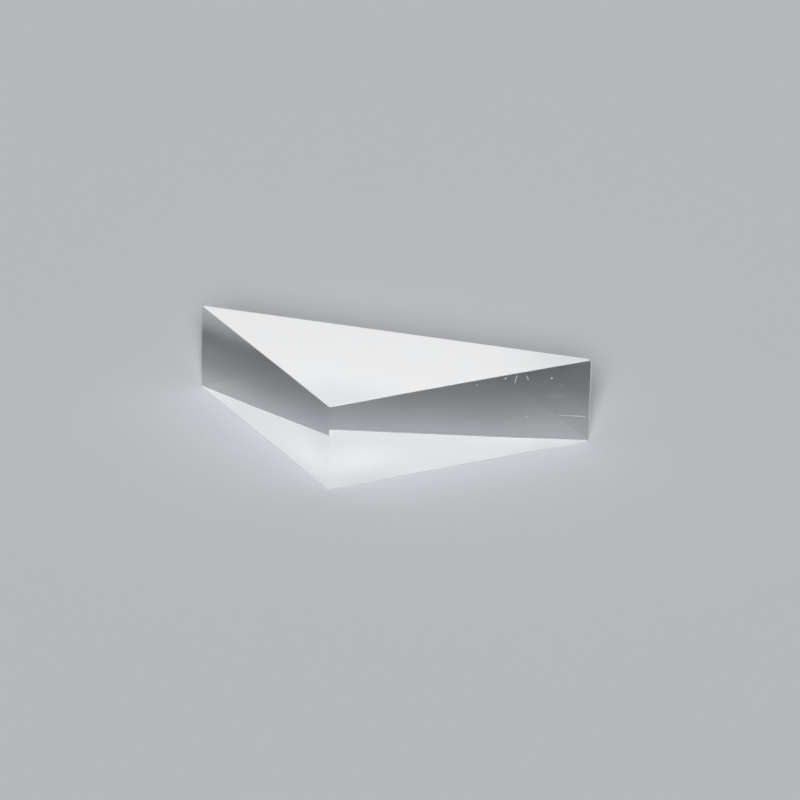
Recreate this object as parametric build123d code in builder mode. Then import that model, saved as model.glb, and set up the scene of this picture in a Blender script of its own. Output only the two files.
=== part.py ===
from build123d import *

import os
from math import sqrt

# Right angle prism: one block of clear optical glass, lying on one of its two triangular faces.
#
# The origin is at the centre of the underside. +Z runs up through the thickness and +Y points out of the
# hypotenuse face, so the right-angle edge is towards -Y. The plane X = 0 is the plane of symmetry.
# The three upright faces are polished. The two triangular faces and all the flats are fine ground.

# Driving dimensions, in millimetres
LEG = 50.0  # each face beside the right angle, from sharp corner to sharp corner
THICKNESS = 15.0  # between the two triangular faces
TIP_FLAT = 0.3  # width of the flat that takes off each 45 degree tip, square to the hypotenuse
RIM_FLAT = 0.1  # width of the flat that breaks the sharp rim of each triangular face

# Worked out from them
DEPTH = LEG / sqrt(2)  # from the right-angle edge to the hypotenuse face
HALF_WIDTH = LEG / sqrt(2) - TIP_FLAT  # from the plane of symmetry to the flat on a tip
HYPOTENUSE_Y = DEPTH / 2
RIGHT_ANGLE_Y = -DEPTH / 2

os.makedirs("parts", exist_ok=True)

with BuildPart() as prism:
    # Outline of the triangular faces: the right half, then its mirror image. The 90 degree edge stays sharp
    with BuildSketch(Plane.XY):
        with BuildLine():
            Polyline(
                (0, RIGHT_ANGLE_Y),
                (HALF_WIDTH, HYPOTENUSE_Y - TIP_FLAT),
                (HALF_WIDTH, HYPOTENUSE_Y),
                (0, HYPOTENUSE_Y),
            )
            mirror(about=Plane.YZ)
        make_face()
    extrude(amount=THICKNESS)

    # Rims of both triangular faces, at 45 degrees to the faces that meet there
    rims = prism.faces().filter_by(Axis.Z).edges()
    chamfer(rims, length=RIM_FLAT / sqrt(2))

prism.part.label = "prism"
export_step(prism.part, "parts/prism.step")
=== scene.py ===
import functools
import math

import bmesh
import bpy
from mathutils import Matrix, Vector


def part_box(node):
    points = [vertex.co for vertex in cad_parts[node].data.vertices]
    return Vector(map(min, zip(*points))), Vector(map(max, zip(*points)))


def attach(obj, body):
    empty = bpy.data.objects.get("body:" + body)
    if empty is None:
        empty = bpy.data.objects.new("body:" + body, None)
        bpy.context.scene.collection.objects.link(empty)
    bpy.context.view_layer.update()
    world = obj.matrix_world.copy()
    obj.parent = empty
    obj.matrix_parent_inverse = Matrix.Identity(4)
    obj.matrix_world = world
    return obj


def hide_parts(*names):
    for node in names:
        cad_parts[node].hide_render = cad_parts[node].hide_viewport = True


# Looks of a right angle prism: a thin block of clear glass with three polished upright faces. Its two
# triangular faces and the flats on its sharp tips are fine ground, and so they are white. Its rims are
# seamed by hand.
# Lengths are in metres, in the frame's axes: X along the hypotenuse, Y out of it, Z up.

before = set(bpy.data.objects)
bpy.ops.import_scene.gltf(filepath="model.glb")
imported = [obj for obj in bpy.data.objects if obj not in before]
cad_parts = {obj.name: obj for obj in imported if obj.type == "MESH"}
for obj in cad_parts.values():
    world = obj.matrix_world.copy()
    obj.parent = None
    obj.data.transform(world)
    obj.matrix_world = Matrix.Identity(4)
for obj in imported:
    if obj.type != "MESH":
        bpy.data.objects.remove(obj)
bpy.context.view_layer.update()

MM = 0.001

# The block, from the frame
block_low, block_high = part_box("prism")
HALF_WIDTH = block_high.x
HYPOTENUSE_Y = block_high.y
RIGHT_ANGLE_Y = block_low.y
THICKNESS = block_high.z
TIP_FLAT = (HYPOTENUSE_Y - RIGHT_ANGLE_Y) - HALF_WIDTH
LEG_DIRECTION = math.sqrt(0.5)  # X and Y part of a unit step along a leg face

# Worn edges, which the maker's drawing leaves to the hand
RIM_SETBACK = 0.06 * MM  # how far the broken rim reaches across each face
RIM_SEGMENTS = 3
TIP_CORNER_LOSS = 0.3 * MM  # what handling has knocked off each corner of the two sharp tips
TIP_CORNER_TURN = 0.25  # how much that facet also faces along Y, where it faces along X and Z by 1

# The block's finishes, and how its faces are told apart by their size and the Z part of their normal
POLISHED, GROUND, SEAMED = range(3)
SMALLEST_POLISHED = 100 * MM * MM
UPRIGHT_BELOW = 0.01
LEVEL_ABOVE = 0.999

# Glass
GLASS_IOR = 1.485  # fitted to how far the photograph's hypotenuse edge is shifted by refraction
GLASS_TINT = "#b8e1f3"  # what is left of white where the absorption has run its course
GLASS_TINT_DENSITY = 0.5  # per metre: 50 mm of glass takes 1.3% of red and 0.3% of blue

# Marks on the leg faces. Each scratch has both its ends, as leg_point takes them
SCRATCHES = [
    ((35.0, 13.3), (35.4, 14.6)),
    ((37.2, 14.2), (37.6, 13.4)),
    ((43.8, 5.8), (48.9, 4.7)),
]
HAIRLINES = [
    ((40.9, 10.0), (44.4, 9.3)),
    ((26.9, 8.7), (28.4, 8.8)),
    ((36.0, 7.1), (37.6, 6.7)),
    ((-16.9, 8.0), (-16.9, 7.0)),
]
DUST = [
    (27.7, 14.1),
    (33.2, 14.4),
    (42.1, 12.9),
    (37.4, 6.7),
    (-45.4, 13.1),
    (-35.3, 7.7),
    (-30.9, 4.8),
    (-24.0, 9.8),
]
SCRATCH_WIDTH = 0.07 * MM
SCRATCH_STRENGTH = 0.5
HAIRLINE_STRENGTH = 0.3
DUST_WIDTH = 0.2 * MM
DUST_STRENGTH = 1.0
MARK_CORE = 0.3  # a mark is at full strength out to this share of its width from its middle
MARK_RIM = 0.7  # and it has faded out at this share
FINE_DUST_PITCH = 1.2 * MM
FINE_DUST_REACH = 0.06  # radius of the largest of the fine dust, as a share of its pitch
FINE_DUST_STRENGTH = 0.35
MARK_ROUGHNESS = 0.6
MARK_CLEARNESS = 0.25  # how much light still passes straight through a mark
POINT_LENGTH_SQUARED = 1e-12  # stands in for the length of a stroke that is a single point

# The film that wiping leaves on polished glass
FILM_PITCH = 12 * MM
FILM_STARTS = 0.5  # level of its noise
FILM_IS_FULL = 0.75
FILM_DETAIL = 3.0
FILM_ROUGHNESS = 0.03

# Ground glass
GRIT_PITCH = 0.25 * MM  # the real pits, about 0.02 mm across, are drawn coarser to show in a close view
GRIT_DETAIL = 2.0
GRIT_DEPTH = 0.02 * MM
GRIT_BUMP = 0.25
GRIT_IN_SHADE = 0.35  # weight of the grit in the shade, beside 1 for the mottle
MOTTLE_PITCH = 9 * MM  # the slow unevenness of hand grinding
MOTTLE_DETAIL = 2.0
SHADE_LOW = 0.4  # sum of the mottle and the weighted grit where the surface is greyest
SHADE_HIGH = 0.95
GROUND_ROUGHNESS_LOW = 0.85
GROUND_ROUGHNESS_HIGH = 1.0
GROUND_GREYER = "#fdfdfe"
GROUND_WHITER = "#fdfeff"
GROUND_CLEARNESS = 0.2  # share of the light that goes on into the block
# Painted shade on the ground faces: greyer near the upright at the right angle and the one at the +X tip
GROUND_PAINTED_SHADE = "#eef1f2"
PAINTED_SHADE_NEAR = 2 * MM
PAINTED_SHADE_FAR = 18 * MM
# Painted shade: the rims and knocked tips are a much darker grey than the ground faces, against the low key
# that falls hard on them
SEAMED_SHADED_GREYER = "#a4a9ab"
SEAMED_SHADED_WHITER = "#b0b5b7"
SEAMED_CLEARNESS = 0.5

# Camera, fitted to the edges of the object in the photograph
CAMERA_TARGET = Vector((-0.76, 23.44, 0.0)) * MM
CAMERA_AZIMUTH = math.radians(17.62)
CAMERA_ELEVATION = math.radians(22.71)
CAMERA_ROLL = math.radians(1.06)
CAMERA_DISTANCE = 1.108
CAMERA_NEAREST = 0.01
CAMERA_LENS_MM = 287.9
SENSOR_MM = 36.0

# Studio
FLOOR_COLOUR = "#b6b8bc"
BACKDROP_COLOUR = "#fbfcfd"
FLOOR_SIZE = 12.0
FLOOR_GAP = 0.02 * MM  # keeps the floor from lying in the same plane as the base
KEY_AZIMUTH = math.radians(16.0)
KEY_ELEVATION = math.radians(24.0)
KEY_SPREAD = math.radians(16.0)
KEY_SHARE = 0.96  # of the light that falls on the floor; the rest comes from all round
DIFFUSE_BOUNCES = 12


def linear(hex_colour):
    """Linear RGBA of an sRGB colour such as #cbcdd0."""
    channels = [int(hex_colour[i : i + 2], 16) / 255 for i in (1, 3, 5)]
    return [c / 12.92 if c <= 0.04045 else ((c + 0.055) / 1.055) ** 2.4 for c in channels] + [1.0]


def add_node(tree, kind, inputs=None, **settings):
    """A new node of this kind with its settings. Each input takes a value or another node's output."""
    made = tree.nodes.new(kind)
    for name, value in settings.items():
        setattr(made, name, value)
    for key, value in (inputs or {}).items():
        socket = made.inputs[key]
        if isinstance(value, bpy.types.NodeSocket):
            tree.links.new(value, socket)
        else:
            socket.default_value = value
    return made


def empty_material(name):
    """A material with only its output node, and that node."""
    material = bpy.data.materials.new(name)
    material.use_nodes = True
    material.node_tree.nodes.clear()
    return material, add_node(material.node_tree, "ShaderNodeOutputMaterial")


# Materials


def soft_noise(tree, position, pitch, detail):
    """Socket with soft noise between 0 and 1, whose patches are about this far apart."""
    noise = add_node(
        tree, "ShaderNodeTexNoise", {"Vector": position, "Scale": 1 / pitch, "Detail": detail}
    )
    return noise.outputs["Fac"]


def add_glass_depth(tree, output):
    """The faint aqua that clear glass takes on with depth."""
    absorption = add_node(
        tree, "ShaderNodeVolumeAbsorption", {"Color": linear(GLASS_TINT), "Density": GLASS_TINT_DENSITY}
    )
    tree.links.new(absorption.outputs["Volume"], output.inputs["Volume"])


def leg_point(along_mm, up_mm):
    """A point on a leg face, this far from the right-angle edge and above the base.

    Minus signs are for the left face.
    """
    along = abs(along_mm) * MM * LEG_DIRECTION
    return Vector((math.copysign(along, along_mm), RIGHT_ANGLE_Y + along, up_mm * MM))


def distance_to_stroke(tree, position, start, end):
    """Socket with the distance from position to the straight stroke between two points."""
    stroke = end - start
    scaled = stroke / max(stroke.length_squared, POINT_LENGTH_SQUARED)
    offset = add_node(
        tree, "ShaderNodeVectorMath", {0: position, 1: start}, operation="SUBTRACT"
    ).outputs[0]
    along = add_node(tree, "ShaderNodeVectorMath", {0: offset, 1: scaled}, operation="DOT_PRODUCT")
    share = add_node(tree, "ShaderNodeClamp", {"Value": along.outputs["Value"]})
    nearest = add_node(
        tree, "ShaderNodeVectorMath", {0: stroke, "Scale": share.outputs[0]}, operation="SCALE"
    ).outputs[0]
    gap = add_node(tree, "ShaderNodeVectorMath", {0: offset, 1: nearest}, operation="DISTANCE")
    return gap.outputs["Value"]


def closeness(tree, position, strokes, near, far):
    """Socket that is 1 within near of any of the strokes, and falls softly to 0 at far."""
    distances = [distance_to_stroke(tree, position, start, end) for start, end in strokes]
    nearest = functools.reduce(
        lambda a, b: add_node(tree, "ShaderNodeMath", {0: a, 1: b}, operation="MINIMUM").outputs[0],
        distances,
    )
    mask = add_node(
        tree,
        "ShaderNodeMapRange",
        {"Value": nearest, "From Min": near, "From Max": far, "To Min": 1.0, "To Max": 0.0},
        interpolation_type="SMOOTHSTEP",
    )
    return mask.outputs["Result"]


def leg_marks(tree, position):
    """Socket with the strength of the scratches and dust at this place."""
    groups = [
        (SCRATCHES, SCRATCH_WIDTH, SCRATCH_STRENGTH),
        (HAIRLINES, SCRATCH_WIDTH, HAIRLINE_STRENGTH),
        ([(grain, grain) for grain in DUST], DUST_WIDTH, DUST_STRENGTH),
    ]
    fine_dust = add_node(tree, "ShaderNodeTexVoronoi", {"Vector": position, "Scale": 1 / FINE_DUST_PITCH})
    marks = add_node(
        tree,
        "ShaderNodeMapRange",
        {
            "Value": fine_dust.outputs["Distance"],
            "From Min": FINE_DUST_REACH / 2,
            "From Max": FINE_DUST_REACH,
            "To Min": FINE_DUST_STRENGTH,
            "To Max": 0.0,
        },
    ).outputs["Result"]
    for strokes, width, strength in groups:
        ends = [(leg_point(*start), leg_point(*end)) for start, end in strokes]
        mask = closeness(tree, position, ends, MARK_CORE * width, MARK_RIM * width)
        faded = add_node(tree, "ShaderNodeMath", {0: mask, 1: strength}, operation="MULTIPLY")
        marks = add_node(
            tree, "ShaderNodeMath", {0: marks, 1: faded.outputs[0]}, operation="MAXIMUM", use_clamp=True
        ).outputs[0]
    return marks


def polished_glass():
    """Optical glass, polished with rouge: clear and sharp, with a little dust and fine scratches."""
    material, output = empty_material("polished_optical_glass")
    tree = material.node_tree
    position = add_node(tree, "ShaderNodeTexCoord").outputs["Object"]
    marks = leg_marks(tree, position)

    # The film softens the reflections here and there
    film_roughness = add_node(
        tree,
        "ShaderNodeMapRange",
        {
            "Value": soft_noise(tree, position, FILM_PITCH, FILM_DETAIL),
            "From Min": FILM_STARTS,
            "From Max": FILM_IS_FULL,
            "To Min": 0.0,
            "To Max": FILM_ROUGHNESS,
        },
    )
    roughness = add_node(
        tree,
        "ShaderNodeMath",
        {0: marks, 1: MARK_ROUGHNESS, 2: film_roughness.outputs[0]},
        operation="MULTIPLY_ADD",
    )
    clear = add_node(tree, "ShaderNodeMapRange", {"Value": marks, "To Min": 1.0, "To Max": MARK_CLEARNESS})
    shader = add_node(
        tree,
        "ShaderNodeBsdfPrincipled",
        {
            "Base Color": linear("#ffffff"),
            "Roughness": roughness.outputs[0],
            "Transmission Weight": clear.outputs[0],
            "IOR": GLASS_IOR,
        },
    )
    tree.links.new(shader.outputs["BSDF"], output.inputs["Surface"])
    add_glass_depth(tree, output)
    return material


def ground_glass(name, greyer, whiter, clearness):
    """The same glass, ground with loose grit.

    Its pits scatter the light, so it is matt and pale, and some of the light goes on into the block.
    It is painted a little greyer near the upright at the right angle and the one at the +X tip: painted
    shade.
    """
    material, output = empty_material(name)
    tree = material.node_tree
    position = add_node(tree, "ShaderNodeTexCoord").outputs["Object"]
    mottle = soft_noise(tree, position, MOTTLE_PITCH, MOTTLE_DETAIL)
    grit = soft_noise(tree, position, GRIT_PITCH, GRIT_DETAIL)
    shade = add_node(
        tree, "ShaderNodeMath", {0: grit, 1: GRIT_IN_SHADE, 2: mottle}, operation="MULTIPLY_ADD"
    )
    whiteness = add_node(
        tree,
        "ShaderNodeMapRange",
        {"Value": shade.outputs[0], "From Min": SHADE_LOW, "From Max": SHADE_HIGH},
    )
    unshaded_colour = add_node(
        tree,
        "ShaderNodeMix",
        {"Factor": whiteness.outputs[0], "A": linear(greyer), "B": linear(whiter)},
        data_type="RGBA",
    )
    # Painted shade: greyer near the upright at the right angle and the one at the +X tip
    shaded_corners = [(0.0, RIGHT_ANGLE_Y), (HALF_WIDTH, HYPOTENUSE_Y)]
    upright_edges = [(Vector((x, y, 0.0)), Vector((x, y, THICKNESS))) for x, y in shaded_corners]
    painted_shade = closeness(tree, position, upright_edges, PAINTED_SHADE_NEAR, PAINTED_SHADE_FAR)
    colour = add_node(
        tree,
        "ShaderNodeMix",
        {"Factor": painted_shade, "A": unshaded_colour.outputs["Result"], "B": linear(GROUND_PAINTED_SHADE)},
        data_type="RGBA",
    )
    roughness = add_node(
        tree,
        "ShaderNodeMapRange",
        {"Value": grit, "To Min": GROUND_ROUGHNESS_LOW, "To Max": GROUND_ROUGHNESS_HIGH},
    )
    bump = add_node(
        tree, "ShaderNodeBump", {"Height": grit, "Strength": GRIT_BUMP, "Distance": GRIT_DEPTH}
    )
    shader = add_node(
        tree,
        "ShaderNodeBsdfPrincipled",
        {
            "Base Color": colour.outputs["Result"],
            "Roughness": roughness.outputs[0],
            "Transmission Weight": clearness,
            "IOR": GLASS_IOR,
            "Specular IOR Level": 0.0,
            "Normal": bump.outputs[0],
        },
    )
    tree.links.new(shader.outputs["BSDF"], output.inputs["Surface"])
    add_glass_depth(tree, output)
    return material


# The block


def block_outline():
    """Corners of a triangular face, anticlockwise from the right-angle edge, without its sharp tips."""
    tip_front = HYPOTENUSE_Y - TIP_FLAT
    right = [(HALF_WIDTH, tip_front), (HALF_WIDTH, HYPOTENUSE_Y)]
    left = [(-x, y) for x, y in reversed(right)]
    return [(0.0, RIGHT_ANGLE_Y)] + right + left


def knock_off_tip_corners(mesh):
    """Cuts a small facet across the four corners of the sharp tips, above and below."""
    for side in (-1, 1):
        for level, upward in ((0.0, -1), (THICKNESS, 1)):
            corner = Vector((side * HALF_WIDTH, HYPOTENUSE_Y, level))
            outward = Vector((side, TIP_CORNER_TURN, upward)).normalized()
            cut = bmesh.ops.bisect_plane(
                mesh,
                geom=mesh.verts[:] + mesh.edges[:] + mesh.faces[:],
                plane_co=corner - outward * TIP_CORNER_LOSS,
                plane_no=outward,
                clear_outer=True,
            )
            rim = [e for e in cut["geom_cut"] if isinstance(e, bmesh.types.BMEdge)]
            bmesh.ops.edgeloop_fill(mesh, edges=rim)


def finish_of(face):
    """Which finish the face has. Rims and knocked corners are the faces that slope."""
    slope = abs(face.normal.z)
    if slope < UPRIGHT_BELOW and face.calc_area() > SMALLEST_POLISHED:
        return POLISHED
    if slope < UPRIGHT_BELOW or slope > LEVEL_ABOVE:
        return GROUND
    return SEAMED


def make_block(finishes):
    """The glass block as a closed mesh, with its polished, ground and seamed finishes in that order."""
    mesh = bmesh.new()
    base = mesh.faces.new([mesh.verts.new((x, y, 0.0)) for x, y in block_outline()])
    raised = bmesh.ops.extrude_face_region(mesh, geom=[base])
    top_corners = [v for v in raised["geom"] if isinstance(v, bmesh.types.BMVert)]
    bmesh.ops.translate(mesh, verts=top_corners, vec=(0.0, 0.0, THICKNESS))
    bmesh.ops.recalc_face_normals(mesh, faces=mesh.faces[:])

    rims = [e for e in mesh.edges if abs(e.verts[0].co.z - e.verts[1].co.z) < RIM_SETBACK]
    bmesh.ops.bevel(
        mesh,
        geom=rims,
        offset=RIM_SETBACK,
        segments=RIM_SEGMENTS,
        profile=0.5,
        affect="EDGES",
        clamp_overlap=True,
    )
    knock_off_tip_corners(mesh)
    bmesh.ops.recalc_face_normals(mesh, faces=mesh.faces[:])
    for face in mesh.faces:
        face.material_index = finish_of(face)

    data = bpy.data.meshes.new("prism_block")
    mesh.to_mesh(data)
    mesh.free()
    for finish in finishes:
        data.materials.append(finish)
    block = bpy.data.objects.new("prism_block", data)
    bpy.context.scene.collection.objects.link(block)
    return block


# Stage, camera and light


def make_floor():
    """A large sheet of matt pale board."""
    half = FLOOR_SIZE / 2
    corners = [(x * half, y * half, -FLOOR_GAP) for x, y in ((-1, -1), (1, -1), (1, 1), (-1, 1))]
    data = bpy.data.meshes.new("floor")
    data.from_pydata(corners, [], [(0, 1, 2, 3)])
    material, output = empty_material("matt_board")
    tree = material.node_tree
    shader = add_node(tree, "ShaderNodeBsdfDiffuse", {"Color": linear(FLOOR_COLOUR)})
    tree.links.new(shader.outputs["BSDF"], output.inputs["Surface"])
    data.materials.append(material)
    floor = bpy.data.objects.new("floor", data)
    bpy.context.scene.collection.objects.link(floor)
    return floor


def direction_from(azimuth, elevation):
    """Unit vector from the object towards a viewer or lamp. Azimuth 0 stands at -Y and 90 degrees at +X."""
    return Vector(
        (
            math.sin(azimuth) * math.cos(elevation),
            -math.cos(azimuth) * math.cos(elevation),
            math.sin(elevation),
        )
    )


def make_camera():
    """The camera, where the photograph was taken from. It is far off, with a long lens."""
    towards = direction_from(CAMERA_AZIMUTH, CAMERA_ELEVATION)
    turn = towards.to_track_quat("Z", "Y").to_matrix() @ Matrix.Rotation(CAMERA_ROLL, 3, "Z")
    data = bpy.data.cameras.new("camera")
    data.sensor_width = SENSOR_MM
    data.lens = CAMERA_LENS_MM
    data.clip_start = CAMERA_NEAREST
    camera = bpy.data.objects.new("camera", data)
    camera.matrix_world = Matrix.Translation(CAMERA_TARGET + towards * CAMERA_DISTANCE) @ turn.to_4x4()
    bpy.context.scene.collection.objects.link(camera)
    bpy.context.scene.camera = camera


def make_light():
    """A soft low key from the front and an even fill, which show the floor's colour as it is written.

    The key is low so that the block's shadow lies on the part of the floor that is seen through it.
    """
    data = bpy.data.lights.new("key", "SUN")
    data.angle = KEY_SPREAD
    data.energy = KEY_SHARE * math.pi / math.sin(KEY_ELEVATION)
    key = bpy.data.objects.new("key", data)
    key.rotation_mode = "QUATERNION"
    key.rotation_quaternion = direction_from(KEY_AZIMUTH, KEY_ELEVATION).to_track_quat("Z", "Y")
    bpy.context.scene.collection.objects.link(key)

    # The camera, reflections and glass see the backdrop, and everything else gets the fill
    world = bpy.data.worlds.new("studio")
    world.use_nodes = True
    tree = world.node_tree
    tree.nodes.clear()
    ray = add_node(tree, "ShaderNodeLightPath")
    seen = ray.outputs["Is Camera Ray"]
    for way in ("Is Glossy Ray", "Is Transmission Ray"):
        either = add_node(tree, "ShaderNodeMath", {0: seen, 1: ray.outputs[way]}, operation="MAXIMUM")
        seen = either.outputs[0]
    fill = add_node(tree, "ShaderNodeBackground", {"Color": linear("#ffffff"), "Strength": 1 - KEY_SHARE})
    backdrop = add_node(tree, "ShaderNodeBackground", {"Color": linear(BACKDROP_COLOUR), "Strength": 1.0})
    mix = add_node(tree, "ShaderNodeMixShader", {0: seen, 1: fill.outputs[0], 2: backdrop.outputs[0]})
    output = add_node(tree, "ShaderNodeOutputWorld")
    tree.links.new(mix.outputs[0], output.inputs["Surface"])
    bpy.context.scene.world = world


make_camera()
make_light()
make_floor()

# A finer stone, run by hand along the rims and the knocked tips, has left them smoother; their darker grey
# is painted shade, which holds them down where the low key falls hard on them
block = make_block(
    [
        polished_glass(),
        ground_glass("fine_ground_glass", GROUND_GREYER, GROUND_WHITER, GROUND_CLEARNESS),
        ground_glass("hand_seamed_glass_painted_shade", SEAMED_SHADED_GREYER, SEAMED_SHADED_WHITER, SEAMED_CLEARNESS),
    ]
)
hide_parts("prism")
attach(block, "root")

bpy.context.scene.view_settings.view_transform = "Standard"
# Light passes to and fro many times between the two white faces
bpy.context.scene.cycles.diffuse_bounces = DIFFUSE_BOUNCES
